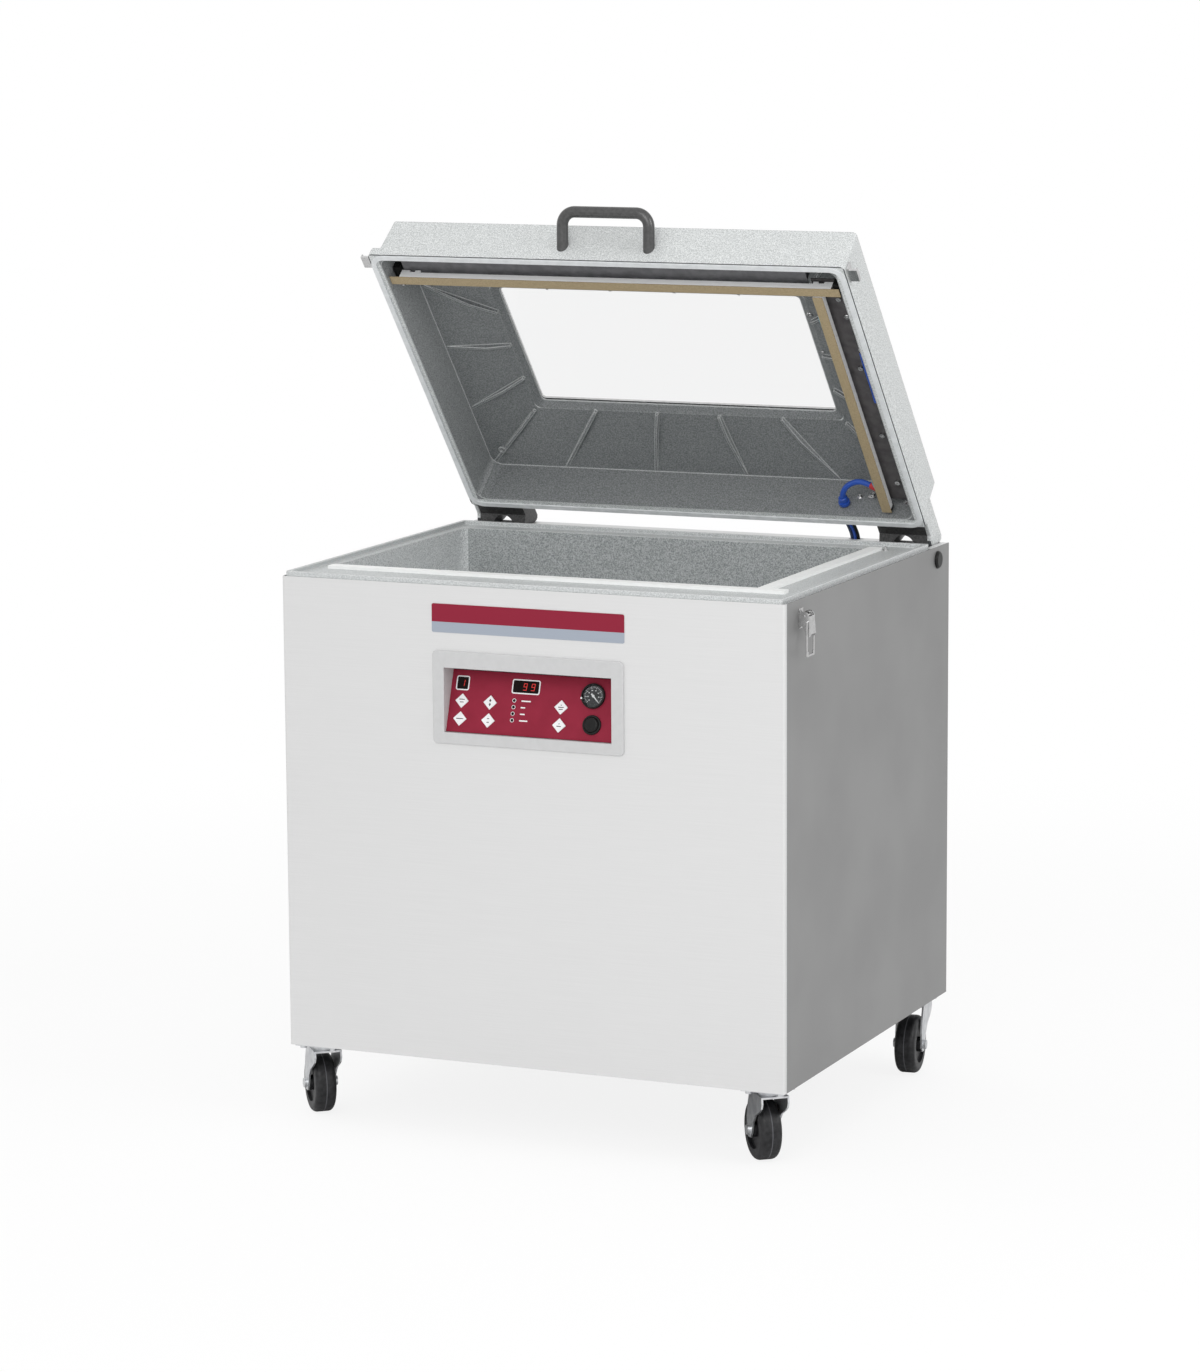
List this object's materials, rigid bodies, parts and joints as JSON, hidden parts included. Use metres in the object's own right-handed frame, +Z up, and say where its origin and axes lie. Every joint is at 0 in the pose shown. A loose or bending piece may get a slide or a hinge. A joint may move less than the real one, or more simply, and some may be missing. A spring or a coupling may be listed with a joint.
{
  "type": "vacuum packing machine",
  "caption": "Floor-standing chamber vacuum packer: steel cabinet on swivel casters, cast chamber, spring-lifted lid with window and seal bars, keypad and gauge.",
  "frame": {"origin": "on the floor, under the middle of the cabinet", "axes": "+Z up, -Y out of the front panel, +X to the right of someone facing the front; the lid stands open"},
  "size_m": [0.9247, 0.7747, 1.5006],
  "materials": {
    "frame_steel": "painted",
    "panel_steel": "brushed",
    "cast_aluminium": "cast, bead blasted",
    "white_silicone": "smooth",
    "dark_cast": "painted",
    "spring_steel": "oiled",
    "dark_plastic": "satin",
    "strip_film": "satin",
    "bezel_plastic": "satin",
    "keypad_film": "satin",
    "red_lens": "gloss",
    "clear_pane": "clear",
    "box_steel": "painted",
    "pump_iron": "painted",
    "motor_paint": "painted",
    "black_rubber": "matt",
    "hose_pvc": "satin",
    "zinc_steel": "zinc plated",
    "blue_pvc": "satin",
    "bright_steel": "polished",
    "handle_steel": "satin coated",
    "dark_steel": "painted",
    "bar_aluminium": "extruded",
    "ptfe_tape": "woven, matt",
    "button_plastic": "satin",
    "key_film": "satin"
  },
  "bodies": {
    "cabinet": {"base_frame": "frame_steel", "front_panel": "panel_steel", "left_panel": "panel_steel", "right_panel": "panel_steel", "rear_cover": "panel_steel", "chamber": "cast_aluminium", "counter_bars": "white_silicone", "hinge_bearings": "dark_cast", "lid_springs": "spring_steel", "side_plugs": "dark_plastic", "label_strip": "strip_film", "control_bezel": "bezel_plastic", "keypad_panel": "keypad_film", "indicator_windows": "red_lens", "gauge_body": "dark_plastic", "gauge_glass": "clear_pane", "button_collar": "dark_plastic", "control_box": "box_steel", "vacuum_pump": "pump_iron", "pump_motor": "motor_paint", "pump_feet": "black_rubber", "vacuum_hose": "hose_pvc", "caster_plates": "zinc_steel", "hinge_cable": "blue_pvc", "latch_bases": "bright_steel"},
    "lid": {"lid_casting": "cast_aluminium", "lid_window": "clear_pane", "window_frame": "bright_steel", "lid_gasket": "white_silicone", "lid_handle": "handle_steel", "hinge_arms": "dark_cast", "hinge_shaft": "bright_steel", "bar_carriers": "dark_steel", "lid_keepers": "bright_steel", "lid_screws": "bright_steel", "lid_cables": "blue_pvc"},
    "front_bar": {"front_seal_bar": "bar_aluminium", "front_seal_tape": "ptfe_tape"},
    "side_bar": {"side_seal_bar": "bar_aluminium", "side_seal_tape": "ptfe_tape"},
    "power_button": {"power_button": "button_plastic"},
    "gauge_needle": {"gauge_needle": "dark_plastic"},
    "latch_lever_left": {"latch_lever_left": "bright_steel"},
    "latch_lever_right": {"latch_lever_right": "bright_steel"},
    "latch_bail_left": {"latch_bail_left": "bright_steel"},
    "latch_bail_right": {"latch_bail_right": "bright_steel"},
    "key_1": {"key_1": "key_film"},
    "key_2": {"key_2": "key_film"},
    "key_3": {"key_3": "key_film"},
    "key_4": {"key_4": "key_film"},
    "key_5": {"key_5": "key_film"},
    "key_6": {"key_6": "key_film"},
    "swivel_front_left": {"caster_fork_front_left": "zinc_steel"},
    "wheel_front_left": {"caster_wheel_front_left": "black_rubber"},
    "swivel_front_right": {"caster_fork_front_right": "zinc_steel"},
    "wheel_front_right": {"caster_wheel_front_right": "black_rubber"},
    "swivel_rear_left": {"caster_fork_rear_left": "zinc_steel"},
    "wheel_rear_left": {"caster_wheel_rear_left": "black_rubber"},
    "swivel_rear_right": {"caster_fork_rear_right": "zinc_steel"},
    "wheel_rear_right": {"caster_wheel_rear_right": "black_rubber"}
  },
  "joints": [
    {"name": "lid_hinge", "type": "hinge", "parent": "cabinet", "child": "lid", "pos_m": [0, 0.325, 0.89], "axis": [1, 0, 0], "range_deg": [0, 49.6], "stiffness_Nm_per_rad": 60, "springref_deg": -114.59, "deforming": ["lid_springs", "hinge_cable"]},
    {"name": "front_bar_press", "type": "slide", "parent": "lid", "child": "front_bar", "axis": [0, -0.7615, -0.6481], "range_m": [0, 0.004], "stiffness_N_per_m": 12000, "springref_m": -0.004},
    {"name": "side_bar_press", "type": "slide", "parent": "lid", "child": "side_bar", "axis": [0, -0.7615, -0.6481], "range_m": [0, 0.004], "stiffness_N_per_m": 12000, "springref_m": -0.004},
    {"name": "key_1_press", "type": "slide", "parent": "cabinet", "child": "key_1", "axis": [0, 0.9511, -0.309], "range_m": [0, 0.0005], "stiffness_N_per_m": 1500, "springref_m": -0.0003},
    {"name": "key_2_press", "type": "slide", "parent": "cabinet", "child": "key_2", "axis": [0, 0.9511, -0.309], "range_m": [0, 0.0005], "stiffness_N_per_m": 1500, "springref_m": -0.0003},
    {"name": "key_3_press", "type": "slide", "parent": "cabinet", "child": "key_3", "axis": [0, 0.9511, -0.309], "range_m": [0, 0.0005], "stiffness_N_per_m": 1500, "springref_m": -0.0003},
    {"name": "key_4_press", "type": "slide", "parent": "cabinet", "child": "key_4", "axis": [0, 0.9511, -0.309], "range_m": [0, 0.0005], "stiffness_N_per_m": 1500, "springref_m": -0.0003},
    {"name": "key_5_press", "type": "slide", "parent": "cabinet", "child": "key_5", "axis": [0, 0.9511, -0.309], "range_m": [0, 0.0005], "stiffness_N_per_m": 1500, "springref_m": -0.0003},
    {"name": "key_6_press", "type": "slide", "parent": "cabinet", "child": "key_6", "axis": [0, 0.9511, -0.309], "range_m": [0, 0.0005], "stiffness_N_per_m": 1500, "springref_m": -0.0003},
    {"name": "power_button_press", "type": "slide", "parent": "cabinet", "child": "power_button", "axis": [0, 0.9511, -0.309], "range_m": [0, 0.0035], "stiffness_N_per_m": 800, "springref_m": -0.002},
    {"name": "gauge_needle_turn", "type": "hinge", "parent": "cabinet", "child": "gauge_needle", "pos_m": [0.103, -0.35729, 0.7429], "axis": [0, -0.9511, 0.309], "range_deg": [0, 270], "stiffness_Nm_per_rad": 0.00002, "springref_deg": -17.19},
    {"name": "latch_lever_left_turn", "type": "hinge", "parent": "cabinet", "child": "latch_lever_left", "pos_m": [-0.451, -0.317, 0.886], "axis": [0, 1, 0], "range_deg": [0, 150]},
    {"name": "latch_bail_left_turn", "type": "hinge", "parent": "latch_lever_left", "child": "latch_bail_left", "pos_m": [-0.457, -0.317, 0.878], "axis": [0, -1, 0], "range_deg": [-202, 0]},
    {"name": "latch_lever_right_turn", "type": "hinge", "parent": "cabinet", "child": "latch_lever_right", "pos_m": [0.451, -0.317, 0.886], "axis": [0, -1, 0], "range_deg": [0, 150]},
    {"name": "latch_bail_right_turn", "type": "hinge", "parent": "latch_lever_right", "child": "latch_bail_right", "pos_m": [0.457, -0.317, 0.878], "axis": [0, 1, 0], "range_deg": [-202, 0]},
    {"name": "swivel_front_left_turn", "type": "hinge", "parent": "cabinet", "child": "swivel_front_left", "pos_m": [-0.398, -0.34, 0.12], "axis": [0, 0, 1], "continuous": true},
    {"name": "wheel_front_left_turn", "type": "hinge", "parent": "swivel_front_left", "child": "wheel_front_left", "pos_m": [-0.4205, -0.31319, 0.05], "axis": [0.766, 0.6428, 0], "continuous": true},
    {"name": "swivel_front_right_turn", "type": "hinge", "parent": "cabinet", "child": "swivel_front_right", "pos_m": [0.398, -0.34, 0.12], "axis": [0, 0, 1], "continuous": true},
    {"name": "wheel_front_right_turn", "type": "hinge", "parent": "swivel_front_right", "child": "wheel_front_right", "pos_m": [0.3755, -0.31319, 0.05], "axis": [0.766, 0.6428, 0], "continuous": true},
    {"name": "swivel_rear_left_turn", "type": "hinge", "parent": "cabinet", "child": "swivel_rear_left", "pos_m": [-0.398, 0.34, 0.12], "axis": [0, 0, 1], "continuous": true},
    {"name": "wheel_rear_left_turn", "type": "hinge", "parent": "swivel_rear_left", "child": "wheel_rear_left", "pos_m": [-0.40287, 0.30534, 0.05], "axis": [-0.9903, 0.1392, 0], "continuous": true},
    {"name": "swivel_rear_right_turn", "type": "hinge", "parent": "cabinet", "child": "swivel_rear_right", "pos_m": [0.398, 0.34, 0.12], "axis": [0, 0, 1], "continuous": true},
    {"name": "wheel_rear_right_turn", "type": "hinge", "parent": "swivel_rear_right", "child": "wheel_rear_right", "pos_m": [0.40196, 0.30523, 0.05], "axis": [-0.9936, -0.1132, 0], "continuous": true}
  ]
}
